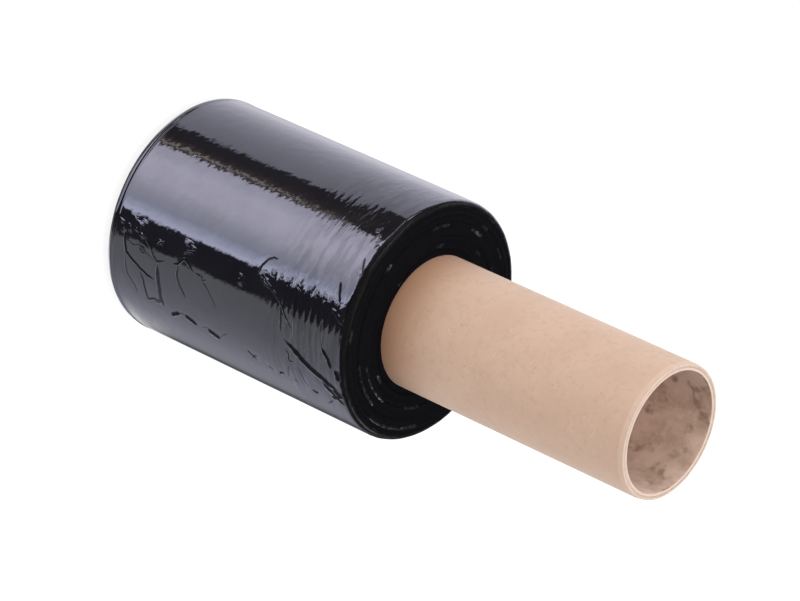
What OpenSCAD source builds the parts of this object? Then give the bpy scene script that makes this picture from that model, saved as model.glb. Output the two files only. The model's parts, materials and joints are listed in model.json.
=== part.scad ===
// Hand roll of stretch wrap on an extended core
//
// A ribbon of black stretch film is wound on a spiral-wound paper tube that is much longer
// than the film is wide. The bare length of tube is the handle. The roll stands on the tube's
// short end, with the axis of the tube along Z and the origin at the middle of that end.

/* [Core tube] */
// Inner diameter of the paper tube
core_bore_d = 38; // [30:0.5:52]
// Wall thickness of the tube
core_wall = 2.2; // [1.8:0.1:4]
// Bare length of tube above the film, which is the handle
handle_len = 94; // [50:1:150]
// Length of tube that stands out below the film
foot_len = 2; // [1:0.5:12]
// Thickness of the pale liner plies that line the tube
liner_t = 0.9; // [0.5:0.1:1.1]
// Depth of the fine crack between liner and outer plies on a cut end
ply_crack = 0.3; // [0.1:0.05:0.5]
// Rounding of the edges of a cut end
core_edge = 0.3; // [0.1:0.05:0.4]
// Length over which the knife has pressed the outer plies inwards
knife_len = 2; // [0.5:0.25:4]
// Depth to which the knife has pressed them at the cut
knife_in = 0.25; // [0:0.05:0.5]

/* [Film roll] */
// Width of the film, from end face to end face
film_w = 100; // [75:1:150]
// Outer diameter of the wound film
film_od = 77; // [60:1:110]
// Rounding of the upper shoulder, where the last turns have pulled in
shoulder_r = 2; // [1:0.25:4]
// Rounding of the lower shoulder, where they have pulled in further
back_shoulder_r = 2.5; // [1:0.25:5]

/* [Neck behind the lower shoulder] */
// Length of skin at full radius between the lower shoulder and the neck
bead_len = 0.2; // [0.1:0.1:2]
// Length of the neck, where the turns have drawn in behind the film's thicker edge
neck_len = 1.4; // [0.8:0.2:4]
// Depth of the neck
neck_depth = 0.2; // [0:0.05:0.5]

/* [Turns on the end faces] */
// Radial step between the neighbouring groups of turns that show on an end face
turn_step = 1.1; // [0.6:0.1:3]
// Largest sideways play of a group of turns
turn_play = 0.22; // [0:0.02:0.4]
// Depth of winding over which the play wavers once, slowly
slow_wave_len = 7.6; // [4:0.2:20]
// Depth of winding over which the quicker play on top of it wavers once
quick_wave_len = 2.2; // [1.4:0.1:4]
// Height of the ledges where the winding ran off to one side
ledge_h = 0.4; // [0:0.05:0.8]
// First group of turns that forms a ledge, counted from the tube
first_ledge = 6; // [1:1:12]
// Groups of turns from each ledge to the next
ledge_every = 3; // [2:1:8]

/* [Gauge rings on the skin] */
// Length of the ringed stretch of skin, from the front shoulder back
ring_zone = 36; // [10:1:60]
// Distance from each ring to the next
ring_pitch = 2.4; // [1.5:0.1:6]
// Depth of the groove between the rings next to the shoulder
ring_depth = 0.16; // [0:0.02:0.4]

/* [Hidden] */
$fn = 80;

core_r = core_bore_d / 2 + core_wall;
core_len = foot_len + film_w + handle_len;
film_r = film_od / 2;
film_top = foot_len + film_w;
edge_steps = 3;
shoulder_steps = 6;
neck_steps = 6;

// The wound film is this deep, from the tube to where the upper shoulder begins
face_depth = film_r - core_r - shoulder_r;
turn_groups = max(4, round(face_depth / turn_step));
turn_pitch = face_depth / turn_groups;

// The rings start behind the front shoulder and fade out towards the middle of the roll
ring_top = film_top - shoulder_r;
ring_rows = 2 * round(ring_zone / ring_pitch);
ring_row = ring_zone / ring_rows;

// Points of an arc in the half section, as [radius, height]
function arc(at, r, from, to, steps) =
    [for (i = [0 : steps]) let (a = from + (to - from) * i / steps) at + r * [cos(a), sin(a)]];

// Parts of the play that the slow waver and the quick one take
slow_play = 0.6 * turn_play;
quick_play = turn_play - slow_play;

// Sideways play of the winding at distance d from the tube
function waver(d) = slow_play * sin(360 * d / slow_wave_len) + quick_play * sin(360 * d / quick_wave_len);

// Height that a ledge adds to group i
function ledge(i) = i >= first_ledge && (i - first_ledge) % ledge_every == 0 ? ledge_h : 0;

// Sideways shift of group i. The film has one width, so a group that stands out at one end
// face lies as deep in the other. The last group is wound straight, which brings the face
// level where the upper shoulder begins.
function shift(i) = i < turn_groups ? waver(i * turn_pitch) + ledge(i) : 0;

// Point of group i on the end face whose level is z
function turn_point(i, z) = [core_r + i * turn_pitch, z + shift(i)];

// The neck starts above the bead of the lower shoulder
neck_low = foot_len + back_shoulder_r + bead_len;

// Point i of the neck, from its lower end up
function neck_point(i) =
    let (share = i / neck_steps)
    [film_r - neck_depth * (1 - cos(360 * share)) / 2, neck_low + neck_len * share];

// Depth of the skin below the full radius at one row of the rings
function ring_groove(i) = ring_depth * (i % 2) * i / ring_rows;

// Half section of the tube, from the foot's inner edge round by the outside
module core_section() {
    crack_r = core_bore_d / 2 + liner_t;
    crack_half = ply_crack / 2;
    inner_r = core_bore_d / 2 + core_edge;
    outer_r = core_r - knife_in - core_edge;
    polygon(concat(
        arc([inner_r, core_edge], core_edge, 180, 270, edge_steps),
        [[crack_r - crack_half, 0], [crack_r, ply_crack], [crack_r + crack_half, 0]],
        arc([outer_r, core_edge], core_edge, 270, 360, edge_steps),
        [[core_r, knife_len], [core_r, core_len - knife_len]],
        arc([outer_r, core_len - core_edge], core_edge, 0, 90, edge_steps),
        [[crack_r + crack_half, core_len], [crack_r, core_len - ply_crack]],
        [[crack_r - crack_half, core_len]],
        arc([inner_r, core_len - core_edge], core_edge, 90, 180, edge_steps)
    ));
}

// Half section of the film, from the lower end face round by the skin to the upper one. Groups
// that the lower shoulder has rounded away, or nearly so, are left out of the lower face.
module film_section() {
    shoulder_at = film_r - shoulder_r;
    back_at = film_r - back_shoulder_r;
    face_end = back_at - turn_pitch / 4;
    polygon(concat(
        [for (i = [0 : turn_groups]) if (core_r + i * turn_pitch < face_end) turn_point(i, foot_len)],
        arc([back_at, foot_len + back_shoulder_r], back_shoulder_r, 270, 360, shoulder_steps),
        [for (i = [0 : neck_steps]) neck_point(i)],
        [for (i = [0 : ring_rows - 1]) [film_r - ring_groove(i), ring_top - ring_zone + i * ring_row]],
        arc([shoulder_at, ring_top], shoulder_r, 0, 90, shoulder_steps),
        [for (i = [turn_groups : -1 : 0]) turn_point(i, film_top)]
    ));
}

// Spiral-wound kraft paper tube, cut square at both ends
module core_tube() {
    color([0.84, 0.73, 0.63])
    rotate_extrude()
    core_section();
}

// All turns of the film as one body, tight on the tube
module film_roll() {
    color([0.08, 0.08, 0.1])
    rotate_extrude()
    film_section();
}

core_tube();
film_roll();
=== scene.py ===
import json
import math

import bpy
from mathutils import Matrix, Vector


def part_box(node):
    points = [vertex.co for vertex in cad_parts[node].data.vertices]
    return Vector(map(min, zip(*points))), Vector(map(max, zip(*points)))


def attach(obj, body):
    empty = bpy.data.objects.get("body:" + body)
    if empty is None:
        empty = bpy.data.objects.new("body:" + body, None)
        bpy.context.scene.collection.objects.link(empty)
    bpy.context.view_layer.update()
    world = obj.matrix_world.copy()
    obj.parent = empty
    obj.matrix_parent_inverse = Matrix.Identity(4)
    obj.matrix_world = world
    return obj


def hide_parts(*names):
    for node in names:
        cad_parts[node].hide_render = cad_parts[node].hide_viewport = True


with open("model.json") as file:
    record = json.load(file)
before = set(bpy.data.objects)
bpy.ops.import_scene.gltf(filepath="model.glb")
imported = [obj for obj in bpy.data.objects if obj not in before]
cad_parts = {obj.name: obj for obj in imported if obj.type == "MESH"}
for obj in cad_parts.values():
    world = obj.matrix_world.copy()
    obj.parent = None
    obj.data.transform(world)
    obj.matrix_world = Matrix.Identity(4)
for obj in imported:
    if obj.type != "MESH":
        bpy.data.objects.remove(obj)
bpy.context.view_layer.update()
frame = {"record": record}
MM = 0.001


# The paper tube
# A spiral-wound kraft tube: plies of brown paper glued round a mandrel and sawn square at
# both ends. It is one stiff piece, and the film is wound straight on to it.
tube_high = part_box("core_tube")[1]
tube_bore = next(m for m in frame["record"]["mounts"] if m["name"] == "core_bore")
tube_outer = tube_high.x
tube_inner = tube_bore["dims"]["r_mm"] * MM
tube_top = tube_high.z
tube_segments = 360
tube_ply_count = 4
wall_rows = 96
tube_liner = 0.9 * MM
tube_edge = 0.3 * MM
knife_len = 2.0 * MM
knife_in = 0.25 * MM
score_depth = 0.12 * MM
score_half = 0.08 * MM
crack_depth = 0.3 * MM
crack_half = 0.18 * MM
film_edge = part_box("film_roll")[1].z


def node(tree, kind, inputs=None, **settings):
    """A node of that kind. Its inputs are values or the outputs of other nodes."""
    made = tree.nodes.new(kind)
    for name, value in settings.items():
        setattr(made, name, value)
    for name, value in (inputs or {}).items():
        if isinstance(value, bpy.types.NodeSocket):
            tree.links.new(value, made.inputs[name])
        else:
            made.inputs[name].default_value = value
    return made


def calc(tree, operation, *values):
    """The result of one sum on numbers."""
    return node(tree, "ShaderNodeMath", dict(enumerate(values)), operation=operation).outputs[0]


def times(tree, first, *others):
    """The product of several numbers."""
    for value in others:
        first = calc(tree, "MULTIPLY", first, value)
    return first


def plus(tree, first, *others):
    """The sum of several numbers."""
    for value in others:
        first = calc(tree, "ADD", first, value)
    return first


def minus(tree, first, second):
    """The first number less the second."""
    return calc(tree, "SUBTRACT", first, second)


def vector(tree, operation, *values):
    """The result of one sum on vectors."""
    return node(tree, "ShaderNodeVectorMath", dict(enumerate(values)), operation=operation).outputs[0]


def length(tree, value):
    """The length of a vector."""
    return node(tree, "ShaderNodeVectorMath", {0: value}, operation="LENGTH").outputs["Value"]


def pushed(tree, way, amount):
    """A move of that amount, that way."""
    return node(tree, "ShaderNodeVectorMath", {0: way, "Scale": amount}, operation="SCALE").outputs[0]


def upwards(tree, amount):
    """A move of that amount along the axis."""
    return node(tree, "ShaderNodeCombineXYZ", {"Z": amount}).outputs[0]


def level_part(tree, parts):
    """The part of a place or a way that lies across the axis."""
    return node(tree, "ShaderNodeCombineXYZ", {"X": parts.outputs["X"], "Y": parts.outputs["Y"]}).outputs[0]


def ramp01(tree, value, low, high, smooth=True):
    """0 where the value is at low, 1 where it is at high, with a soft or a straight rise between."""
    kind = "SMOOTHSTEP" if smooth else "LINEAR"
    inputs = {"Value": value, "From Min": low, "From Max": high}
    return node(tree, "ShaderNodeMapRange", inputs, interpolation_type=kind).outputs["Result"]


def noise(tree, place, scale, detail=2.0, rough=0.5, stretch=(1.0, 1.0, 1.0), shift=(0.0, 0.0, 0.0)):
    """Grey noise at a place. The scale is in bumps for each metre, and stretch squeezes it."""
    mapped = vector(tree, "MULTIPLY_ADD", place, stretch, shift)
    inputs = {"Vector": mapped, "Scale": scale, "Detail": detail, "Roughness": rough}
    return node(tree, "ShaderNodeTexNoise", inputs).outputs["Fac"]


def arc(centre, radius, start, stop, steps):
    """Points of a round edge in a half section, as (radius, height). Angles in degrees."""
    turns = [math.radians(start + (stop - start) * i / steps) for i in range(steps + 1)]
    return [(centre[0] + radius * math.cos(a), centre[1] + radius * math.sin(a)) for a in turns]


def line(start, stop, steps):
    """Points of a straight stretch of a half section, without its last one."""
    return [tuple(a + (b - a) * i / steps for a, b in zip(start, stop)) for i in range(steps)]


def new_group(name, kind, ins, outs):
    """An empty node group with named inputs, each a socket type and a value, and named outputs."""
    group = bpy.data.node_groups.new(name, kind)
    for label, (socket, value) in ins.items():
        made = group.interface.new_socket(label, in_out="INPUT", socket_type=socket)
        if value is not None:
            made.default_value = value
    for label, socket in outs.items():
        group.interface.new_socket(label, in_out="OUTPUT", socket_type=socket)
    return group, node(group, "NodeGroupInput"), node(group, "NodeGroupOutput")


def turn_section_group():
    """Geometry nodes that turn a half section round the axis, as on a lathe."""
    ins = {"Section": ("NodeSocketGeometry", None), "Segments": ("NodeSocketInt", 360)}
    outs = {"Geometry": "NodeSocketGeometry"}
    tree, given, out = new_group("turn_section", "GeometryNodeTree", ins, outs)
    section = given.outputs["Section"]
    size = node(tree, "GeometryNodeAttributeDomainSize", {"Geometry": section})
    rows = size.outputs["Point Count"]
    columns = plus(tree, given.outputs["Segments"], 1)
    sides = {"Size X": 1.0, "Size Y": 1.0, "Vertices X": columns, "Vertices Y": rows}
    grid = node(tree, "GeometryNodeMeshGrid", sides).outputs["Mesh"]
    position = node(tree, "GeometryNodeInputPosition").outputs[0]
    place = node(tree, "ShaderNodeSeparateXYZ", {0: position})
    up = times(tree, plus(tree, place.outputs["Y"], 0.5), minus(tree, rows, 1))
    row = node(tree, "FunctionNodeFloatToInt", {0: up}, rounding_mode="ROUND").outputs[0]
    sample = {"Geometry": section, "Index": row}
    points = node(tree, "GeometryNodeSampleIndex", sample, data_type="FLOAT_VECTOR")
    tree.links.new(position, points.inputs["Value"])
    point = node(tree, "ShaderNodeSeparateXYZ", {0: points.outputs["Value"]})
    angle = times(tree, plus(tree, place.outputs["X"], 0.5), math.tau)
    x = times(tree, point.outputs["X"], calc(tree, "COSINE", angle))
    y = times(tree, point.outputs["X"], calc(tree, "SINE", angle))
    spot = node(tree, "ShaderNodeCombineXYZ", {"X": x, "Y": y, "Z": point.outputs["Z"]}).outputs[0]
    put = node(tree, "GeometryNodeSetPosition", {"Geometry": grid, "Position": spot}).outputs[0]
    closed = node(tree, "GeometryNodeMergeByDistance", {"Geometry": put, "Distance": 0.002 * MM})
    tree.links.new(closed.outputs[0], out.inputs["Geometry"])
    return tree


turn_section = turn_section_group()


def turned(tree, given):
    """The half section that a tree is given, turned round the axis."""
    lathe = node(tree, "GeometryNodeGroup", node_tree=turn_section)
    for name in ("Section", "Segments"):
        tree.links.new(given.outputs[name], lathe.inputs[name])
    return lathe.outputs[0]


def close_tree(tree, geometry, material, out):
    """The end of a tree: real geometry, with its material, shaded smooth."""
    real = node(tree, "GeometryNodeRealizeInstances", {"Geometry": geometry}).outputs[0]
    painted = node(tree, "GeometryNodeSetMaterial", {"Geometry": real, "Material": material}).outputs[0]
    smooth = node(tree, "GeometryNodeSetShadeSmooth", {0: painted}).outputs[0]
    tree.links.new(smooth, out.inputs["Geometry"])


def section_piece(name, points):
    """An object whose mesh is only the points of a half section, in order, closed on itself."""
    mesh = bpy.data.meshes.new(name)
    mesh.from_pydata([(r, 0.0, z) for r, z in points + points[:1]], [], [])
    piece = bpy.data.objects.new(name, mesh)
    bpy.context.scene.collection.objects.link(piece)
    return piece


def run_nodes(piece, tree, values):
    """Runs a geometry tree on the piece and keeps the result as its plain mesh."""
    modifier = piece.modifiers.new(tree.name, "NODES")
    modifier.node_group = tree
    for item in tree.interface.items_tree:
        if item.in_out == "INPUT" and item.name in values:
            modifier[item.identifier] = values[item.name]
    graph = bpy.context.evaluated_depsgraph_get()
    plain = bpy.data.meshes.new_from_object(piece.evaluated_get(graph))
    piece.modifiers.clear()
    piece.data = plain
    return piece


def cut_end(height, way):
    """The tube's cut end from the bore out: liner, crack and outer plies. way is 1 at the top."""
    liner_r = tube_inner + tube_liner
    ply = (tube_outer - knife_in - tube_edge - liner_r) / tube_ply_count
    points = arc((tube_inner + tube_edge, height - way * tube_edge), tube_edge, 180, 180 - way * 90, 4)
    crack = (liner_r, height - way * crack_depth)
    points += [(liner_r - crack_half, height), crack, (liner_r + crack_half, height)]
    for i in range(1, tube_ply_count):
        r = liner_r + i * ply
        points += [(r - score_half, height), (r, height - way * score_depth), (r + score_half, height)]
    outer = (tube_outer - knife_in - tube_edge, height - way * tube_edge)
    return points + arc(outer, tube_edge, way * 90, 0, 4)


def tube_section():
    """The tube's half section: foot from the bore out, outer wall, top inwards, then the bore."""
    shaft_low, shaft_high = (tube_outer, knife_len), (tube_outer, tube_top - knife_len)
    foot, top = cut_end(0.0, -1), cut_end(tube_top, 1)
    points = foot + line(shaft_low, shaft_high, wall_rows) + [shaft_high] + top[::-1]
    bore_high, bore_low = (tube_inner, tube_top - 2 * tube_edge), (tube_inner, 2 * tube_edge)
    return points + line(bore_high, bore_low, wall_rows)


def tube_tree():
    """Geometry nodes of the tube: the turned section, hardly out of true, with rough cut edges."""
    ins = {
        "Section": ("NodeSocketGeometry", None),
        "Segments": ("NodeSocketInt", 360),
        "Out of true": ("NodeSocketFloat", 0.05 * MM),
        "Rough cut": ("NodeSocketFloat", 0.1 * MM),
        "Tube height": ("NodeSocketFloat", 0.2),
        "Board": ("NodeSocketMaterial", None),
    }
    tree, given, out = new_group("paper_tube", "GeometryNodeTree", ins, {"Geometry": "NodeSocketGeometry"})
    position = node(tree, "GeometryNodeInputPosition").outputs[0]
    place = node(tree, "ShaderNodeSeparateXYZ", {0: position})
    height, tube_height = place.outputs["Z"], given.outputs["Tube height"]
    sway = noise(tree, position, 22.0, 1.0)
    nick = noise(tree, position, 900.0, 3.0)
    from_end = calc(tree, "MINIMUM", height, minus(tree, tube_height, height))
    at_cut = ramp01(tree, from_end, 0.5 * MM, 0.0)
    inward = calc(tree, "SIGN", minus(tree, times(tree, tube_height, 0.5), height))
    drop = times(tree, nick, at_cut, given.outputs["Rough cut"], inward)
    swayed = times(tree, minus(tree, sway, 0.75), given.outputs["Out of true"])
    side = pushed(tree, vector(tree, "NORMALIZE", level_part(tree, place)), swayed)
    offset = vector(tree, "ADD", side, upwards(tree, drop))
    moved = node(tree, "GeometryNodeSetPosition", {"Geometry": turned(tree, given), "Offset": offset})
    close_tree(tree, moved.outputs[0], given.outputs["Board"], out)
    return tree


def around_axis(tree):
    """A point's place, its distance from the axis, and its height."""
    place = node(tree, "ShaderNodeTexCoord").outputs["Object"]
    parts = node(tree, "ShaderNodeSeparateXYZ", {0: place})
    return place, length(tree, level_part(tree, parts)), parts.outputs["Z"]


def new_material(name):
    """A material with an empty tree, its Principled shader and its output."""
    material = bpy.data.materials.new(name)
    material.use_nodes = True
    tree = material.node_tree
    tree.nodes.clear()
    shader = node(tree, "ShaderNodeBsdfPrincipled")
    node(tree, "ShaderNodeOutputMaterial", {"Surface": shader.outputs[0]})
    return material, tree, shader


def mix(tree, factor, a, b, blend="MIX"):
    """Two colours mixed by a factor."""
    made = node(tree, "ShaderNodeMix", {"Factor": factor}, data_type="RGBA", blend_type=blend)
    for socket, value in ((6, a), (7, b)):
        if isinstance(value, bpy.types.NodeSocket):
            tree.links.new(value, made.inputs[socket])
        else:
            made.inputs[socket].default_value = (*value, 1.0)
    return made.outputs[2]


def kraft_board():
    """Kraft paper: warm tan outside with faint fibres, a pale liner edge, and a brown bore; painted shade by
    the film and on one side of the bore.
    """
    material, tree, shader = new_material("kraft_board")
    place, radius, height = around_axis(tree)
    cloud = noise(tree, place, 90.0, 3.0, 0.6)
    mottle = noise(tree, place, 420.0, 4.0, 0.65)
    fibre = noise(tree, place, 1500.0, 2.0, 0.5, stretch=(1.0, 1.0, 0.28))
    cross_fibre = noise(tree, place, 1300.0, 2.0, 0.5, stretch=(0.3, 0.3, 1.0), shift=(0.3, 0.1, 0.2))
    outside = mix(tree, ramp01(tree, cloud, 0.3, 0.7), (0.565, 0.39, 0.29), (0.595, 0.42, 0.315))
    outside = mix(tree, ramp01(tree, mottle, 0.45, 0.75), outside, (0.53, 0.36, 0.265))
    dark_fibre = times(tree, ramp01(tree, fibre, 0.66, 0.76), 0.5)
    outside = mix(tree, dark_fibre, outside, (0.41, 0.275, 0.195))
    outside = mix(tree, ramp01(tree, cross_fibre, 0.66, 0.76), outside, (0.63, 0.475, 0.365))
    # Painted shade: the board turns dark brown over the last 20 mm above the film.
    painted_film_shade = ramp01(tree, height, film_edge + 20 * MM, film_edge)
    outside = mix(tree, times(tree, painted_film_shade, 0.85), outside, (0.45, 0.23, 0.13))
    blotch = noise(tree, place, 110.0, 5.0, 0.62, stretch=(1.0, 1.0, 0.7), shift=(0.2, 0.5, 0.0))
    inside = mix(tree, ramp01(tree, blotch, 0.4, 0.66), (0.90, 0.70, 0.60), (0.62, 0.45, 0.35))
    spots = ramp01(tree, noise(tree, place, 150.0, 2.5, 0.58), 0.53, 0.68)
    inside = mix(tree, spots, inside, (0.46, 0.32, 0.23))
    inside = mix(tree, ramp01(tree, mottle, 0.5, 0.8), inside, (0.84, 0.69, 0.60))
    # Painted shade: the bore's wall on the side of negative x is made darker and duller.
    inner_side = node(tree, "ShaderNodeSeparateXYZ", {0: place}).outputs["X"]
    painted_bore_shade = ramp01(tree, inner_side, -2 * MM, -tube_inner)
    inside = mix(tree, painted_bore_shade, inside, (0.64, 0.60, 0.57), "MULTIPLY")
    liner = mix(tree, ramp01(tree, mottle, 0.4, 0.7), (0.77, 0.62, 0.54), (0.71, 0.55, 0.47))
    plies = mix(tree, ramp01(tree, mottle, 0.35, 0.65), (0.74, 0.60, 0.51), (0.66, 0.53, 0.44))
    from_end = calc(tree, "MINIMUM", height, minus(tree, tube_top, height))
    cut = ramp01(tree, from_end, 0.3 * MM, 0.12 * MM)
    pressed = times(tree, ramp01(tree, from_end, knife_len * 1.1, knife_len * 0.8), 0.35)
    outside = mix(tree, pressed, outside, (0.72, 0.55, 0.46))
    past_bore = ramp01(tree, radius, tube_inner + 0.2 * MM, tube_inner + 0.35 * MM)
    past_liner = ramp01(tree, radius, tube_inner + tube_liner, tube_inner + tube_liner + 0.15 * MM)
    wall, ends = mix(tree, past_bore, inside, outside), mix(tree, past_liner, liner, plies)
    tree.links.new(mix(tree, cut, wall, ends), shader.inputs["Base Color"])
    relief = times(tree, plus(tree, fibre, plus(tree, mottle, cross_fibre)), 0.02 * MM)
    bump = node(tree, "ShaderNodeBump", {"Strength": 0.7, "Distance": 1.0, "Height": relief})
    tree.links.new(bump.outputs[0], shader.inputs["Normal"])
    shader.inputs["Roughness"].default_value = 0.82
    shader.inputs["Specular IOR Level"].default_value = 0.25
    shader.inputs["Sheen Weight"].default_value = 0.25
    shader.inputs["Sheen Roughness"].default_value = 0.5
    return material


paper_tube = section_piece("paper_tube", tube_section())
run_nodes(paper_tube, tube_tree(), {
    "Segments": tube_segments,
    "Out of true": 0.12 * MM,
    "Rough cut": 0.16 * MM,
    "Tube height": tube_top,
    "Board": kraft_board(),
})
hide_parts("core_tube")
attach(paper_tube, "root")


# The inner turns of the film
# Black stretch film a fiftieth of a millimetre thick, wound tight under its own cling. Both
# end faces are the edges of hundreds of turns, with ledges where the winding ran off sideways.
film_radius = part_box("film_roll")[1].x
film_width = 100.0 * MM
film_foot = 2.0 * MM
film_top = film_foot + film_width
shoulder = 2.0 * MM
back_shoulder = 2.5 * MM
skin_radius = film_radius - 0.15 * MM
turn_play = 0.22 * MM
ledge_height = 0.4 * MM
turn_groups = 14
turn_pitch = (film_radius - tube_outer - shoulder) / turn_groups
first_ledge = 6
ledge_every = 3
slow_wave = 7.6 * MM
quick_wave = 2.2 * MM
slow_share = 0.6
ledge_slope = 2.2
settle_groups = 0.8
face_segments = 480
# Painted glints, where a ledge is given more gloss: its radius in millimetres, and from and to how many
# degrees round the roll from the side that faces the viewer.
glints = [
    (34.2, -77, -117), (30.9, -42, -73), (27.7, -46, -80), (27.7, -105, -117), (31.3, 15, 19), (22.5, 16, 18),
    (33.1, 98, 102), (33.0, 120, 126), (30.9, 55, 67), (30.3, 90, 100), (26.0, 106, 110), (28.5, 128, 134),
    (35.2, -20, -26), (24.5, -60, -66), (30.0, 140, 144), (24.5, 60, 66),
]


def turn_shift(depth):
    """How far the turns at that depth of winding stand out at the top face."""
    slow = math.sin(math.tau * depth / slow_wave)
    quick = math.sin(math.tau * depth / quick_wave)
    play = turn_play * (slow_share * slow + (1 - slow_share) * quick)
    group = depth / turn_pitch
    nearest = round(group)
    if nearest >= first_ledge and (nearest - first_ledge) % ledge_every == 0:
        play += ledge_height * max(0.0, 1.0 - ledge_slope * abs(group - nearest))
    settle = min(1.0, max(0.0, (turn_groups - group) / settle_groups))
    return play * settle


def guide(name, points, edges, **attributes):
    """A loose mesh that a geometry tree reads, with one number for each point under each name."""
    mesh = bpy.data.meshes.new(name)
    mesh.from_pydata(points, edges, [])
    for label, values in attributes.items():
        mesh.attributes.new(label, "FLOAT", "POINT").data.foreach_set("value", values)
    made = bpy.data.objects.new(name, mesh)
    bpy.context.scene.collection.objects.link(made)
    return made


def glint_lines():
    """The stretches of the ledges with a painted glint, as lines on the upper face."""
    points, edges = [], []
    for radius, start, stop in glints:
        r = radius * MM
        steps = max(2, math.ceil(abs(stop - start) / 2))
        for i in range(steps + 1):
            turned_by = math.radians(start + (stop - start) * i / steps)
            height = film_top + turn_shift(r - tube_outer)
            points.append((-r * math.sin(turned_by), -r * math.cos(turned_by), height))
            if i:
                edges.append((len(points) - 2, len(points) - 1))
    return guide("glint_lines", points, edges)


def turns_section(step=0.2 * MM):
    """Half section of the inner turns: lower face, a wall under the skin, and the upper face."""
    def face(outer, level):
        """The points of one end face, from the tube out."""
        count = round((outer - tube_outer) / step)
        depths = [(outer - tube_outer) * i / count for i in range(count + 1)]
        return [(tube_outer + d, level + turn_shift(d)) for d in depths]

    lower = face(skin_radius - back_shoulder, film_foot)
    return lower + face(skin_radius - shoulder, film_top)[::-1]


def guide_mesh(tree, given, name):
    """The loose mesh that a tree is given under that name."""
    inputs = {"Object": given.outputs[name]}
    return node(tree, "GeometryNodeObjectInfo", inputs, transform_space="ORIGINAL").outputs["Geometry"]


def distance_to(tree, geometry, element):
    """How far each point is from the nearest point or edge of a geometry."""
    near = node(tree, "GeometryNodeProximity", {0: geometry}, target_element=element)
    return near.outputs["Distance"]


def keep_mark(tree, geometry, name, value):
    """Keeps a number for each point under that name, for the material."""
    inputs = {"Geometry": geometry, "Name": name, "Value": value}
    kept = node(tree, "GeometryNodeStoreNamedAttribute", inputs, data_type="FLOAT", domain="POINT")
    return kept.outputs[0]


def turns_tree():
    """Geometry nodes of the end faces: the ledges wander a little round the roll."""
    ins = {
        "Section": ("NodeSocketGeometry", None),
        "Segments": ("NodeSocketInt", 360),
        "Wander": ("NodeSocketFloat", 0.2 * MM),
        "Nicks": ("NodeSocketFloat", 0.1 * MM),
        "Glints": ("NodeSocketObject", None),
        "Film": ("NodeSocketMaterial", None),
    }
    tree, given, out = new_group("turn_edges", "GeometryNodeTree", ins, {"Geometry": "NodeSocketGeometry"})
    position = node(tree, "GeometryNodeInputPosition").outputs[0]
    wander = noise(tree, position, 60.0, 2.0, 0.5)
    nicks = ramp01(tree, noise(tree, position, 420.0, 2.0, 0.6), 0.62, 0.75)
    swing = times(tree, minus(tree, wander, 0.5), given.outputs["Wander"])
    lift = upwards(tree, plus(tree, swing, times(tree, nicks, given.outputs["Nicks"])))
    moved = node(tree, "GeometryNodeSetPosition", {"Geometry": turned(tree, given), "Offset": lift})
    # The mark for the painted glints on the ledges.
    near = distance_to(tree, guide_mesh(tree, given, "Glints"), "EDGES")
    shine = ramp01(tree, near, 0.65 * MM, 0.2 * MM)
    marked = keep_mark(tree, moved.outputs[0], "glint", shine)
    close_tree(tree, marked, given.outputs["Film"], out)
    return tree


def kept_mark(tree, name):
    """The number that the mesh keeps under that name."""
    return node(tree, "ShaderNodeAttribute", attribute_name=name).outputs["Fac"]


def ring_noise(tree, radius, scale, detail):
    """Noise that changes from turn to turn only."""
    inputs = {"W": radius, "Scale": scale, "Detail": detail}
    return node(tree, "ShaderNodeTexNoise", inputs, noise_dimensions="1D").outputs["Fac"]


def film_edges():
    """The cut edges of the turns: satin black, finely ringed, with a few painted glints on the ledges."""
    material, tree, shader = new_material("film_edges")
    place, radius, _ = around_axis(tree)
    ringed = plus(tree, radius, times(tree, noise(tree, place, 70.0, 2.0), 1.5 * MM))
    fine, broad = ring_noise(tree, ringed, 4200.0, 3.0), ring_noise(tree, ringed, 700.0, 2.0)
    specks = ramp01(tree, noise(tree, place, 450.0, 3.0, 0.7), 0.56, 0.66)
    rings = plus(tree, times(tree, fine, 0.03 * MM), times(tree, broad, 0.1 * MM))
    relief = plus(tree, rings, times(tree, specks, 0.15 * MM))
    bump = node(tree, "ShaderNodeBump", {"Strength": 1.0, "Distance": 1.0, "Height": relief})
    tree.links.new(bump.outputs[0], shader.inputs["Normal"])
    tone = ramp01(tree, broad, 0.3, 0.7)
    tree.links.new(mix(tree, tone, (0.005, 0.005, 0.007), (0.007, 0.007, 0.009)), shader.inputs["Base Color"])
    broken = ramp01(tree, noise(tree, place, 600.0, 2.0, 0.6), 0.45, 0.55)
    # Painted glint: more gloss and less roughness along the listed stretches of ledge.
    bright = times(tree, kept_mark(tree, "glint"), plus(tree, times(tree, broken, 0.85), 0.15))
    tree.links.new(plus(tree, bright, 0.02), shader.inputs["Specular IOR Level"])
    tree.links.new(minus(tree, 0.6, times(tree, bright, 0.38)), shader.inputs["Roughness"])
    shader.inputs["Specular Tint"].default_value = (0.75, 0.88, 1.0, 1.0)
    return material


glint_guide = glint_lines()
inner_turns = section_piece("film_inner_turns", turns_section())
run_nodes(inner_turns, turns_tree(), {
    "Segments": face_segments,
    "Wander": 0.35 * MM,
    "Nicks": 0.12 * MM,
    "Glints": glint_guide,
    "Film": film_edges(),
})
bpy.data.objects.remove(glint_guide)
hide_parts("film_roll")
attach(inner_turns, "root")


# The outer turns of the film
# The last turns, pulled tight enough to shine. Their edges have drawn in to round shoulders,
# thick lanes have built up rings near the upper end, and the free end clings by itself.
ring_zone = 38.0 * MM
ring_pitch = 2.4 * MM
crease_reach = 1.2 * MM
neck_low = film_foot + back_shoulder + 0.2 * MM
neck_len = 1.4 * MM
neck_depth = 0.12 * MM
bead_out = 0.08 * MM
waist_in = 0.04 * MM
waist_len = 8 * MM
tuck_in = 0.6 * MM
tuck_down = 0.3 * MM
skin_segments = 440
neck_rows = 12
plain_rows = 44
ringed_rows = 110
crease_steps = 6
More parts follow.
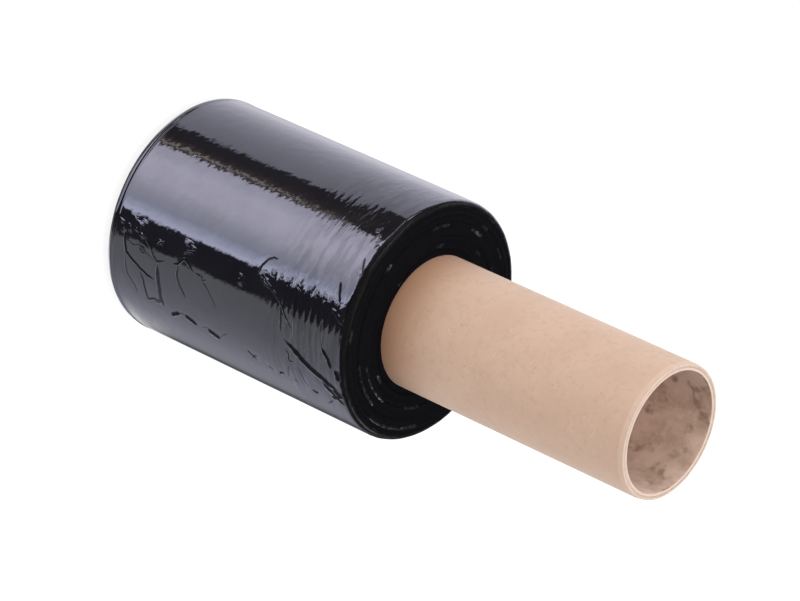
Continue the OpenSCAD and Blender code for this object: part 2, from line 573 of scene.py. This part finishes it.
# Each crease is its size, how much painted shade its bottom gets, and a run of points: millimetres above the
# film's lower end, and degrees round the roll from the side that faces the viewer.
creases = [
    (1.1, 1.0, [(7.5, -21), (8, -25), (9, -30), (14.5, -34.5), (18.5, -37), (21.5, -37.5)]),
    (0.9, 0.6, [(8.5, -33), (9.5, -41), (12.5, -46), (13, -50)]),
    (1.0, 0.9, [(15, -36), (16.5, -40.5), (17, -46), (17.5, -50.5), (20.5, -48.5), (22.5, -48.5)]),
    (2.0, 0.8, [(22.5, -29.5), (23, -35), (23.5, -41), (23.5, -46), (24.5, -50.5)]),
    (1.8, 0.7, [(20.5, -49.5), (22.5, -49), (24, -47)]),
    (0.9, 0.7, [(15, -19), (18.5, -22), (20, -25), (21.5, -27.5), (22.5, -28), (25.5, -26)]),
    (0.9, 0.8, [(31, -25), (31, -30), (32, -33.5), (33.5, -36.5), (35, -39.5)]),
    (0.9, 0.9, [(29, -25.5), (31, -24.5), (33, -21), (35, -22), (37.5, -25)]),
    (0.7, 0.6, [(41.5, -27), (44.5, -30.5), (46.5, -34), (48, -37)]),
    (1.8, 1.0, [(27, -54), (29, -52), (31.5, -50)]), (0.8, 0.6, [(31, -50.5), (33, -49.5), (35, -50.5)]),
    (2.2, 1.0, [(33.5, -50), (36, -51), (38.5, -52.5)]),
    (0.8, 0.5, [(41, -52), (43.5, -51)]), (2.4, 1.0, [(43, -52), (45.5, -53), (48, -54.5)]),
    (0.5, 0.6, [(48, -54), (49.5, -51.5), (52, -48.5)]),
    (0.8, 1.0, [(62.5, -12), (63, -8), (64.5, -4.5), (66, -3), (68, -2.5)]),
    (0.7, 0.8, [(64, -11), (66.5, -14), (69.5, -16.5), (72.5, -19), (74.5, -22), (76.5, -26), (79.5, -30)]),
    (1.0, 0.8, [(74, -22), (74.5, -27), (75, -33.5)]),
    (2.8, 1.0, [(76.5, -36.5), (81.5, -40.5), (84.5, -43.5), (88, -46), (91.5, -48), (94, -50), (97.5, -51)]),
    (2.4, 1.0, [(91, -50), (94, -53.5), (96, -56), (98.5, -60)]),
    (2.2, 1.0, [(94, -58), (96.5, -56), (98.5, -54)]),
    (0.7, 0.9, [(77, -41), (78, -43), (78, -47), (80, -46.5)]),
    (0.6, 0.7, [(77.5, -50), (76.5, -54), (76, -58)]),
    (0.6, 0.7, [(81.5, -48), (82.5, -52), (83, -56), (84.5, -58)]),
    (0.8, 0.9, [(90.5, -65), (94, -60)]),
    (1.8, 1.0, [(91.5, -32), (94.5, -36), (95.5, -40.5)]),
    (1.2, 1.0, [(92.5, 0), (93.5, -4), (95, -9)]), (0.9, 0.9, [(96, 14), (97.5, 9), (98.5, 6)]),
    (0.8, 0.9, [(84, -9.5), (84.5, -6)]), (0.7, 0.9, [(79, -9), (79.5, -6)]),
    (0.6, 0.8, [(75.5, -9), (75.5, -7)]),
    (0.9, 1.0, [(59.5, -53), (61.5, -55), (63, -56.5)]), (0.8, 0.9, [(61, -57.5), (62, -55), (63.5, -54)]),
    (0.9, 0.9, [(67.5, -57), (69.5, -58.5)]), (1.0, 1.0, [(72, -59), (73, -57.5), (74.5, -57)]),
    (1.5, 1.0, [(85.5, -59), (86.5, -60), (88, -59.5)]), (0.8, 0.9, [(78.5, -57.5), (80, -59)]),
    (2.6, 1.0, [(97, -40.5), (98.2, -42.5), (98, -45.5)]),
    (3.0, 1.0, [(95.5, -51.5), (97, -53.5), (98.5, -56)]),
    (0.6, 0.8, [(24, -17.5), (22.5, -18.5), (21, -20.5)]),
    (0.6, 0.8, [(32.5, -19), (34, -17), (35.5, -16), (36.5, -17)]),
    (0.6, 0.7, [(14, -25), (15.5, -27), (17.5, -26.5)]), (0.5, 0.6, [(40.5, -24.5), (41.5, -27), (43, -26)]),
    (0.6, 0.2, [(9, -24), (12, -25.5), (14, -24), (16, -25.5), (18.5, -27), (20.5, -28)]),
    (0.7, 0.8, [(63.5, -13), (66, -15.5), (68.5, -16)]),
    (1.4, 0.0, [(93, -12.5), (95.5, -14.5), (98.5, -17.5)]),
]
# Spots where the film is finely crumpled, given the same way.
crumples = [
    (5.5, -17), (7, -20), (9.5, -18.5), (12, -14), (13.5, -15), (14.5, -19.5), (12.5, -18), (16, -25),
    (22.5, -18), (34, -16), (10.5, -12.5), (15, -13), (33.5, -13), (36, -14.5), (31, -24), (36.5, -25),
    (40.5, -25), (9, -23.5), (57.5, -17), (56.5, -19), (64.5, -11.5), (66.5, -13.5), (68.5, -9), (71.5, -9),
    (74.5, -10), (97.5, 10), (97, 6), (96.5, 13), (95.5, 26), (97.5, 21), (93.5, 29), (79, -9.5), (83, -9),
    (86, -9.5), (89, -9), (91.5, -10),
]


def on_the_skin(up, around):
    """The place on the skin at that many millimetres up and degrees round."""
    height = film_foot + up * MM
    past = max(0.0, height - film_top + shoulder)
    radius = skin_radius - shoulder + math.sqrt(shoulder ** 2 - past ** 2)
    return -radius * math.sin(math.radians(around)), -radius * math.cos(math.radians(around)), height


def crease_lines():
    """The creases as lines on the skin, bent between their points and slightly unsteady."""
    points, edges, sizes, darks = [], [], [], []
    for size, dark, run in creases:
        for k, ((up, around), (next_up, next_around)) in enumerate(zip(run, run[1:])):
            for i in range(1 if k else 0, crease_steps + 1):
                t = i / crease_steps
                waver = 0.05 * math.sin(2.0 * (up + around) + 6.0 * t)
                at_up = up + (next_up - up) * t + waver
                at_around = around + (next_around - around) * t + 2.0 * waver
                points.append(on_the_skin(at_up, at_around))
                share = (k + t) / (len(run) - 1)
                taper = min(1.0, 0.25 + 5.0 * min(share, 1.0 - share))
                sizes.append(size * taper)
                darks.append(dark * min(1.0, 2.0 * taper))
                if i or k:
                    edges.append((len(points) - 2, len(points) - 1))
    return guide("crease_lines", points, edges, size=sizes, dark=darks)


def fold_profile():
    """The cross section of a fold: across, height, and its painted shade, below 0 for a painted highlight."""
    section = [
        (-0.6, -0.04, 0.3), (-0.45, -0.002, 0.6), (-0.3, 0.015, 1.0), (0.0, 0.026, 1.0),
        (0.28, 0.015, 1.0), (0.34, 0.012, -0.6), (0.48, -0.002, -0.6), (0.6, -0.04, 0.0),
    ]
    points = [(height * MM, across * MM, 0.0) for across, height, _ in section]
    edges = [(i, i + 1) for i in range(len(section) - 1)]
    return guide("fold_profile", points, edges, shade=[shade for _, _, shade in section])


def skin_section():
    """Half section of the outer turns: lower shoulder and its neck, side, and upper shoulder."""
    bead_radius = skin_radius + bead_out
    low = (bead_radius - back_shoulder, film_foot + back_shoulder)
    high = (skin_radius - shoulder, film_top - shoulder)
    lower = arc(low, back_shoulder, 270, 360, 12)
    upper = arc(high, shoulder, 0, 90, 8)
    neck = []
    for i in range(neck_rows + 1):
        drawn_in = neck_depth * math.sin(math.pi * i / neck_rows) ** 2
        radius = bead_radius + (skin_radius - waist_in - bead_radius) * i / neck_rows
        neck.append((radius - drawn_in, neck_low + neck_len * i / neck_rows))
    points = [(low[0] - tuck_in, film_foot + tuck_down), *lower, *neck]
    ringed = (skin_radius, film_top - ring_zone)
    plain = line((skin_radius, neck[-1][1]), ringed, plain_rows)[1:]
    points += [(r - waist_in * max(0.0, 1.0 - (z - neck[-1][1]) / waist_len) ** 2, z) for r, z in plain]
    points += line(ringed, upper[0], ringed_rows) + upper
    return points + [(high[0] - tuck_in, film_top - tuck_down)]


def skin_tree():
    """Geometry nodes of the skin: rings, waves, a flat, loose shoulders, creases and the free end."""
    ins = {
        "Section": ("NodeSocketGeometry", None),
        "Segments": ("NodeSocketInt", 600),
        "Roll radius": ("NodeSocketFloat", 0.04),
        "Upper end": ("NodeSocketFloat", 0.1),
        "Ring zone": ("NodeSocketFloat", 0.04),
        "Ring pitch": ("NodeSocketFloat", 0.0024),
        "Ring depth": ("NodeSocketFloat", 0.05 * MM),
        "Slack side": ("NodeSocketFloat", -0.9),
        "Wave depth": ("NodeSocketFloat", 0.05 * MM),
        "Crease depth": ("NodeSocketFloat", 0.1 * MM),
        "Crease width": ("NodeSocketFloat", 0.5 * MM),
        "Ridged side": ("NodeSocketFloat", -2.3),
        "Flat side": ("NodeSocketFloat", -2.1),
        "Flat half": ("NodeSocketFloat", 0.15),
        "Free end": ("NodeSocketFloat", 2.6),
        "Free end step": ("NodeSocketFloat", 0.08 * MM),
        "Creases": ("NodeSocketObject", None),
        "Crumples": ("NodeSocketObject", None),
        "Fold profile": ("NodeSocketObject", None),
        "Film": ("NodeSocketMaterial", None),
    }
    tree, given, out = new_group("outer_skin", "GeometryNodeTree", ins, {"Geometry": "NodeSocketGeometry"})
    position = node(tree, "GeometryNodeInputPosition").outputs[0]
    place = node(tree, "ShaderNodeSeparateXYZ", {0: position})
    flat = level_part(tree, place)
    radius, outwards = length(tree, flat), vector(tree, "NORMALIZE", flat)
    on_skin = ramp01(tree, minus(tree, given.outputs["Roll radius"], radius), 1.2 * MM, 0.2 * MM)
    below_top = minus(tree, given.outputs["Upper end"], place.outputs["Z"])
    angle = calc(tree, "ARCTAN2", place.outputs["Y"], place.outputs["X"])

    def facing(side):
        """How squarely the skin there faces that side, with 1 for straight at it."""
        return calc(tree, "COSINE", minus(tree, angle, given.outputs[side]))

    wobble = times(tree, noise(tree, position, 60.0, 1.0), 1.6)
    lane = plus(tree, calc(tree, "DIVIDE", below_top, given.outputs["Ring pitch"]), wobble)
    swell = times(tree, minus(tree, 1.0, calc(tree, "COSINE", times(tree, lane, math.tau))), 0.5)
    groove = times(tree, calc(tree, "POWER", swell, 2.0), -1.0)
    along = calc(tree, "DIVIDE", below_top, given.outputs["Ring zone"])
    fade = minus(tree, 1.0, ramp01(tree, along, 0.45, 1.0))
    patchy = ramp01(tree, noise(tree, position, 130.0, 2.0, 0.5, stretch=(0.6, 0.6, 2.5)), 0.32, 0.68)
    slack = plus(tree, times(tree, ramp01(tree, facing("Slack side"), 0.8, 0.94), 0.85), 0.07)
    taut = plus(tree, ramp01(tree, calc(tree, "DIVIDE", place.outputs["X"], radius), 0.87, 0.6), 0.15)
    ridged = ramp01(tree, facing("Ridged side"), 0.98, 0.997)
    ridged = times(tree, ridged, ramp01(tree, below_top, 5 * MM, 14 * MM), 0.42)
    slack = plus(tree, times(tree, slack, taut), ridged)
    amount = times(tree, plus(tree, patchy, 0.3), times(tree, slack, given.outputs["Ring depth"]))
    rings = times(tree, groove, fade, amount)
    waves = times(tree, minus(tree, noise(tree, position, 45.0, 2.0), 0.5), given.outputs["Wave depth"])
    lines = guide_mesh(tree, given, "Creases")
    distance = distance_to(tree, lines, "EDGES")
    share = calc(tree, "DIVIDE", distance, given.outputs["Crease width"])
    fold = calc(tree, "EXPONENT", times(tree, calc(tree, "POWER", share, 2.0), -1.0))
    lip_at = calc(tree, "POWER", minus(tree, share, 1.9), 2.0)
    lip = times(tree, calc(tree, "EXPONENT", times(tree, lip_at, -1.5)), 0.35)
    crease = times(tree, minus(tree, lip, fold), given.outputs["Crease depth"])
    straight = times(tree, noise(tree, position, 50.0, 2.0), 0.03)
    past_end = plus(tree, minus(tree, angle, given.outputs["Free end"]), straight)
    turn = calc(tree, "FRACT", calc(tree, "DIVIDE", past_end, math.tau))
    spiral = times(tree, minus(tree, turn, 1.0), given.outputs["Free end step"])
    loose = ramp01(tree, below_top, 4.5 * MM, 1.5 * MM)
    ruffle = times(tree, minus(tree, noise(tree, position, 150.0, 2.0), 0.6), 0.3 * MM, loose)
    off_flat = calc(tree, "MAXIMUM", facing("Flat side"), 0.5)
    chord = calc(tree, "DIVIDE", calc(tree, "COSINE", given.outputs["Flat half"]), off_flat)
    chord = calc(tree, "MINIMUM", minus(tree, chord, 1.0), 0.0)
    pressed = times(tree, chord, given.outputs["Roll radius"], ramp01(tree, below_top, 19 * MM, 6 * MM))
    plain = plus(tree, rings, waves, plus(tree, ruffle, pressed), spiral)
    draw = pushed(tree, outwards, times(tree, plain, on_skin))
    outer = pushed(tree, outwards, times(tree, plus(tree, plain, crease), on_skin))
    uneven = times(tree, minus(tree, noise(tree, position, 130.0, 3.0, 0.6), 0.55), 0.9 * MM)
    middle = minus(tree, place.outputs["Z"], times(tree, given.outputs["Upper end"], 0.5))
    lift = upwards(tree, times(tree, uneven, minus(tree, 1.0, on_skin), calc(tree, "SIGN", middle)))
    move = {"Geometry": turned(tree, given), "Offset": vector(tree, "ADD", outer, lift)}
    moved = node(tree, "GeometryNodeSetPosition", move).outputs[0]
    spot = distance_to(tree, guide_mesh(tree, given, "Crumples"), "POINTS")
    ragged = plus(tree, spot, times(tree, noise(tree, position, 600.0, 1.0), 3.0 * MM))
    by_crease = times(tree, ramp01(tree, distance, 5.0 * MM, 1.0 * MM), 0.12)
    crumpled = calc(tree, "MAXIMUM", by_crease, ramp01(tree, ragged, 2.6 * MM, 1.5 * MM))
    marked = keep_mark(tree, moved, "crumpled", crumpled)
    curves = node(tree, "GeometryNodeMeshToCurve", {"Mesh": lines}).outputs[0]
    fine = node(tree, "GeometryNodeResampleCurve", {"Curve": curves, "Length": 0.25 * MM}, mode="LENGTH")
    stand = {"Curve": fine.outputs[0], "Normal": outwards}
    upright = node(tree, "GeometryNodeSetCurveNormal", stand, mode="FREE").outputs[0]
    size = node(tree, "GeometryNodeInputNamedAttribute", {"Name": "size"}, data_type="FLOAT")
    outline = node(tree, "GeometryNodeMeshToCurve", {"Mesh": guide_mesh(tree, given, "Fold profile")})
    sweep = {"Curve": upright, "Profile Curve": outline.outputs[0], "Scale": size.outputs["Attribute"]}
    folds = node(tree, "GeometryNodeCurveToMesh", sweep).outputs[0]
    laid = node(tree, "GeometryNodeSetPosition", {"Geometry": folds, "Offset": draw}).outputs[0]
    joined = node(tree, "GeometryNodeJoinGeometry")
    for part in (laid, marked):
        tree.links.new(part, joined.inputs[0])
    close_tree(tree, joined.outputs[0], given.outputs["Film"], out)
    return tree


def film_skin():
    """Tight black film: glossy, finely waved, with streaked rings towards the upper end."""
    material, tree, shader = new_material("film_skin")
    place, _, height = around_axis(tree)
    crumpled = kept_mark(tree, "crumpled")
    side = calc(tree, "DIVIDE", node(tree, "ShaderNodeSeparateXYZ", {0: place}).outputs["X"], skin_radius)
    calm = times(tree, ramp01(tree, side, 0.7, 0.9), ramp01(tree, height, 60 * MM, 30 * MM))
    lively = plus(tree, times(tree, ramp01(tree, side, 0.05, -0.25), 0.4), 0.6)
    lively = minus(tree, lively, times(tree, calm, 0.45))
    ripple = times(tree, noise(tree, place, 330.0, 1.6, 0.5), lively, 0.07 * MM)
    tangle = times(tree, noise(tree, place, 700.0, 2.0, 0.5), crumpled, 0.22 * MM)
    streak = noise(tree, place, 480.0, 1.5, 0.5, stretch=(0.22, 0.22, 1.0))
    zone = ramp01(tree, height, film_top - ring_zone, film_top - 20 * MM)
    fray = times(tree, noise(tree, place, 900.0, 2.0, 0.6, stretch=(0.35, 0.35, 1.0)), 0.06 * MM)
    streaks = times(tree, plus(tree, times(tree, streak, 0.06 * MM), fray), zone)
    relief = plus(tree, ripple, tangle, streaks)
    bump = node(tree, "ShaderNodeBump", {"Strength": 1.0, "Distance": 1.0, "Height": relief})
    tree.links.new(bump.outputs[0], shader.inputs["Normal"])
    tint = ramp01(tree, noise(tree, place, 60.0, 2.0), 0.3, 0.7)
    tree.links.new(mix(tree, tint, (0.005, 0.005, 0.006), (0.007, 0.007, 0.009)), shader.inputs["Base Color"])
    satin = ramp01(tree, height, film_top - 1.3 * MM, film_top - 0.7 * MM)
    tree.links.new(plus(tree, times(tree, satin, 0.3), 0.045), shader.inputs["Roughness"])
    # Painted shade in the fold bottoms and a painted highlight on one lip: the folds' marks lower or raise
    # the gloss.
    fold_shade = times(tree, kept_mark(tree, "shade"), kept_mark(tree, "dark"))
    painted_fold_light = minus(tree, 1.0, times(tree, fold_shade, 0.97))
    dull = times(tree, ramp01(tree, streak, 0.42, 0.6), zone, 0.1)
    haze = plus(tree, times(tree, noise(tree, place, 150.0, 3.0, 0.6), 0.12), 0.44)
    worn = plus(tree, times(tree, satin, 0.3), dull)
    gloss = times(tree, painted_fold_light, minus(tree, haze, worn))
    tree.links.new(gloss, shader.inputs["Specular IOR Level"])
    return material


crease_guide, fold_guide = crease_lines(), fold_profile()
crumple_guide = guide("crumple_spots", [on_the_skin(up, around) for up, around in crumples], [])
outer_turns = section_piece("film_outer_turns", skin_section())
run_nodes(outer_turns, skin_tree(), {
    "Segments": skin_segments,
    "Roll radius": skin_radius,
    "Upper end": film_top,
    "Ring zone": ring_zone,
    "Ring pitch": ring_pitch,
    "Ring depth": 0.12 * MM,
    "Slack side": -0.8,
    "Wave depth": 0.1 * MM,
    "Crease depth": 0.03 * MM,
    "Crease width": crease_reach,
    "Ridged side": math.radians(-134),
    "Flat side": math.radians(-123),
    "Flat half": math.radians(7.5),
    "Free end": 1.2,
    "Free end step": 0.08 * MM,
    "Creases": crease_guide,
    "Crumples": crumple_guide,
    "Fold profile": fold_guide,
    "Film": film_skin(),
})
for made in (crease_guide, crumple_guide, fold_guide):
    bpy.data.objects.remove(made)
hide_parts("film_roll")
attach(outer_turns, "root")


# The studio
# A plain pale floor, soft light from all round with one large soft lamp, and what the gloss
# of the film mirrors: one bright softbox and two dimmer walls, with dark gaps between them.
floor_size = 12.0
brightest = 12.0
# How far the walls lean, in degrees round for each degree up, and how many degrees below level
# they stand where the lists below say.
wall_lean = -0.8
true_below = 39.5
# Small lamps that only gloss sees: degrees round and up, half width in degrees, and brightness.
gloss_lamps = [(-145, 32, 10, 7.0), (140, 30, 7, 7.0), (80, 62, 14, 6.0)]
# The camera's place, how many degrees it looks down and is rolled, and its lens in millimetres.
camera_at = (-2.11 * MM, -1092.51 * MM, 893.76 * MM)
camera_down = 36.384
camera_roll = 114.643
camera_lens = 202.81


def studio_floor():
    """A white table, lit from within, that keeps the roll's shadow."""
    mesh = bpy.data.meshes.new("studio_floor")
    half = floor_size / 2
    corners = [(-half, -half, 0), (half, -half, 0), (half, half, 0), (-half, half, 0)]
    mesh.from_pydata(corners, [], [(0, 1, 2, 3)])
    floor = bpy.data.objects.new("studio_floor", mesh)
    bpy.context.scene.collection.objects.link(floor)
    material = bpy.data.materials.new("pale_floor")
    material.use_nodes = True
    tree = material.node_tree
    tree.nodes.clear()
    matt = node(tree, "ShaderNodeBsdfDiffuse", {"Color": (0.25, 0.255, 0.26, 1.0)})
    glow = node(tree, "ShaderNodeEmission", {"Color": (1.0, 1.0, 1.0, 1.0), "Strength": 0.86})
    shown = node(tree, "ShaderNodeAddShader", {0: matt.outputs[0], 1: glow.outputs[0]})
    node(tree, "ShaderNodeOutputMaterial", {"Surface": shown.outputs[0]})
    mesh.materials.append(material)
    floor.visible_glossy = False


def light_from_afar(tree, colour, strength):
    """Light of that colour and strength from the world."""
    return node(tree, "ShaderNodeBackground", {"Color": colour, "Strength": strength}).outputs[0]


def either(tree, factor, first, second):
    """The first shader where the factor is 0, and the second where it is 1."""
    return node(tree, "ShaderNodeMixShader", {0: factor, 1: first, 2: second}).outputs[0]


def studio_world():
    """White behind the roll, plain soft light on it, and the softbox and walls that gloss mirrors."""
    world = bpy.data.worlds.new("studio")
    bpy.context.scene.world = world
    world.use_nodes = True
    tree = world.node_tree
    tree.nodes.clear()
    towards = node(tree, "ShaderNodeTexCoord").outputs["Generated"]
    parts = node(tree, "ShaderNodeSeparateXYZ", {0: towards})
    level = length(tree, level_part(tree, parts))
    rise = times(tree, calc(tree, "ARCTAN2", parts.outputs["Z"], level), 180 / math.pi)
    left, front = times(tree, parts.outputs["X"], -1.0), times(tree, parts.outputs["Y"], -1.0)
    around = times(tree, calc(tree, "ARCTAN2", left, front), 180 / math.pi)
    slanted = plus(tree, around, times(tree, plus(tree, rise, true_below), wall_lean))
    # What stands round the roll: degrees round, and the red, green and blue that shine there.
    walls = [
        (-180, 0.25, 0.25, 0.3), (-170, 0.16, 0.16, 0.2), (-160, 0.13, 0.13, 0.16), (-153, 0.4, 0.4, 0.47),
        (-144, 0.65, 0.65, 0.76), (-128, 1.0, 1.0, 1.22), (-110, 1.15, 1.17, 1.45), (-80, 1.25, 1.28, 1.5),
        (-48.5, 1.32, 1.35, 1.48), (-46, 0.1, 0.1, 0.14), (-22.3, 0.08, 0.08, 0.14), (-20.6, 7.0, 7.2, 9.7),
        (-14, 5.3, 5.5, 7.5), (-8, 3.9, 4.0, 5.4), (0, 4.6, 4.6, 5.9), (16, 6.7, 6.5, 8.1),
        (32, 6.8, 6.6, 8.4), (40, 5.7, 5.6, 7.1), (47.5, 5.2, 5.0, 6.3), (49, 0.3, 0.26, 0.28),
        (50.5, 0.25, 0.22, 0.24), (51.5, 3.2, 2.8, 2.6), (53, 2.6, 2.2, 2.1), (54.5, 0.5, 0.38, 0.4),
        (60, 0.18, 0.14, 0.16), (72.3, 0.1, 0.1, 0.14), (74.7, 1.7, 1.7, 2.15), (130, 1.6, 1.57, 1.9),
        (150, 1.4, 1.38, 1.55), (160, 1.05, 1.04, 1.16), (168, 0.7, 0.7, 0.8), (180, 0.45, 0.45, 0.52),
    ]
    # The share of that which shines at each height in degrees, in front of the roll and beside it.
    front_heights = [
        (-90, 0.0), (-64, 0.0), (-60, 0.8), (-53, 0.55), (-46, 0.6), (-41.5, 1.0), (-38, 1.0),
        (-27, 1.15), (-21, 1.1), (-18, 0.05), (90, 0.01),
    ]
    side_heights = [
        (-90, 1.3), (-60, 1.6), (-53, 0.65), (-46, 0.65), (-41.5, 1.0), (-38, 1.0),
        (-26, 1.3), (-12, 1.7), (0, 1.6), (4, 0.02), (90, 0.01),
    ]

    def bands(value, low, high, stops):
        """The colour or grey that a list of stops gives for a value between low and high."""
        ramp = node(tree, "ShaderNodeValToRGB", {0: ramp01(tree, value, low, high, smooth=False)})
        elements = ramp.color_ramp.elements
        for i, (at, *colour) in enumerate(stops):
            at = (at - low) / (high - low)
            element = elements[i] if i < 2 else elements.new(at)
            element.position = at
            element.color = (*(colour if len(colour) == 3 else colour * 3), 1.0)
        return ramp.outputs[0]

    dimmed = [(at, *[c / brightest for c in colour]) for at, *colour in walls]
    turned_round = bands(slanted, -180, 180, dimmed)
    nearer = times(tree, ramp01(tree, around, -10.0, -50.0), 0.35)
    sideways = ramp01(tree, minus(tree, calc(tree, "DIVIDE", front, level), nearer), 0.5, 0.2)
    tall = mix(tree, sideways, bands(rise, -90, 90, front_heights), bands(rise, -90, 90, side_heights))
    by_foot = times(tree, ramp01(tree, rise, -38.6, -40.0), ramp01(tree, around, -106.0, -176.0))
    by_foot = times(tree, by_foot, ramp01(tree, rise, -42.0, -40.6), 0.15)
    lifted = node(tree, "ShaderNodeCombineColor", {0: by_foot, 1: by_foot, 2: by_foot}).outputs[0]
    turned_round = mix(tree, 1.0, turned_round, lifted, "ADD")
    strip = times(tree, ramp01(tree, slanted, 49.0, 50.5), ramp01(tree, rise, -38.0, -37.4))
    strip = times(tree, strip, ramp01(tree, around, 62.0, 58.0))
    turned_round = mix(tree, strip, turned_round, (0.02, 0.018, 0.02))
    ring = mix(tree, 1.0, turned_round, tall, "MULTIPLY")
    behind = times(tree, ramp01(tree, parts.outputs["Y"], -0.4, -0.1), ramp01(tree, rise, -52.0, -58.0))
    ring = mix(tree, behind, ring, (2.3 / brightest, 2.3 / brightest, 2.5 / brightest))
    below = ramp01(tree, rise, -62.0, -70.0)
    ring = mix(tree, below, ring, (0.5 / brightest, 0.5 / brightest, 0.55 / brightest))
    for azimuth, elevation, size, glow in gloss_lamps:
        a, e = math.radians(azimuth), math.radians(elevation)
        centre = (-math.sin(a) * math.cos(e), -math.cos(a) * math.cos(e), math.sin(e))
        dot = node(tree, "ShaderNodeVectorMath", {0: towards, 1: centre}, operation="DOT_PRODUCT")
        edge, full = math.cos(math.radians(size)), math.cos(math.radians(size * 0.6))
        lamp = ramp01(tree, dot.outputs["Value"], edge, full)
        ring = mix(tree, lamp, ring, (glow / brightest,) * 3)
    mirrored = light_from_afar(tree, ring, brightest)
    overhead = plus(tree, times(tree, ramp01(tree, rise, 25.0, 65.0), 1.3), 0.5)
    soft = light_from_afar(tree, (1.0, 0.97, 0.94, 1.0), overhead)
    white = light_from_afar(tree, (1.0, 1.0, 1.0, 1.0), 1.0)
    ray = node(tree, "ShaderNodeLightPath")
    lit = either(tree, ray.outputs["Is Glossy Ray"], soft, mirrored)
    clear = calc(tree, "MAXIMUM", ray.outputs["Is Camera Ray"], ray.outputs["Is Transmission Ray"])
    node(tree, "ShaderNodeOutputWorld", {"Surface": either(tree, clear, lit, white)})


def soft_lamp(name, at, size, power):
    """A large soft lamp, aimed at the middle of the roll. The film doesn't mirror it."""
    light = bpy.data.lights.new(name, "AREA")
    light.shape = "DISK"
    light.size = size
    light.energy = power
    lamp = bpy.data.objects.new(name, light)
    lamp.location = at
    lamp.rotation_euler = (Vector((0, 0, tube_top / 2)) - Vector(at)).to_track_quat("-Z", "Y").to_euler()
    lamp.visible_glossy = False
    lamp.visible_camera = False
    bpy.context.scene.collection.objects.link(lamp)


def studio_camera():
    """The photograph's view: a long lens, turned so that the roll lies across the picture."""
    data = bpy.data.cameras.new("view")
    data.sensor_width = 36.0
    data.lens = camera_lens
    data.clip_start, data.clip_end = 0.05, 50.0
    camera = bpy.data.objects.new("view", data)
    tilt = Matrix.Rotation(math.pi / 2 - math.radians(camera_down), 4, "X")
    roll = Matrix.Rotation(math.radians(camera_roll), 4, "Z")
    camera.matrix_world = Matrix.Translation(camera_at) @ (tilt @ roll)
    bpy.context.scene.collection.objects.link(camera)
    bpy.context.scene.camera = camera


studio_floor()
studio_world()
soft_lamp("soft_key", at=(-1.2, -0.7, 0.2), size=0.9, power=7.0)
studio_camera()
bpy.context.scene.view_settings.view_transform = "Standard"
